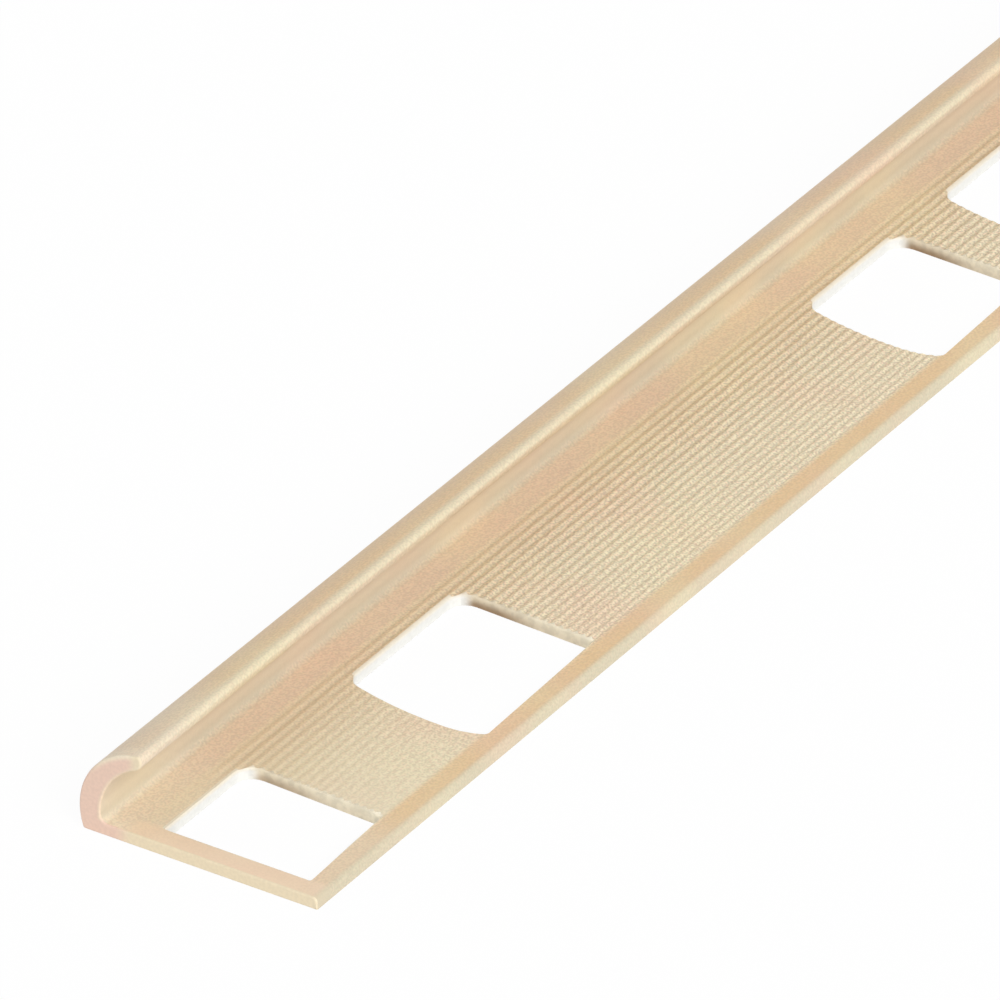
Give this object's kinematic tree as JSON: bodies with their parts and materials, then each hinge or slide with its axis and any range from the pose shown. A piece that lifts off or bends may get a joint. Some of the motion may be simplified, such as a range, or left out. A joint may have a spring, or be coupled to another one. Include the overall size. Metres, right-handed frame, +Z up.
{
  "type": "pvc tile trim",
  "caption": "Straight length of open quadrant PVC tile trim: a rounded hollow bead along one edge of a thin ribbed leg punched with rectangular keying holes.",
  "frame": {"origin": "bottom centre of the bounding box, on the underside of the leg halfway along the strip", "axes": "+X along the strip, +Y towards the bead, +Z up from the leg's underside"},
  "size_m": [2.5, 0.0244, 0.0091],
  "materials": {
    "pvc": "satin beige rigid PVC, as extruded"
  },
  "bodies": {
    "root": {"tile_trim": "pvc"}
  },
  "joints": []
}
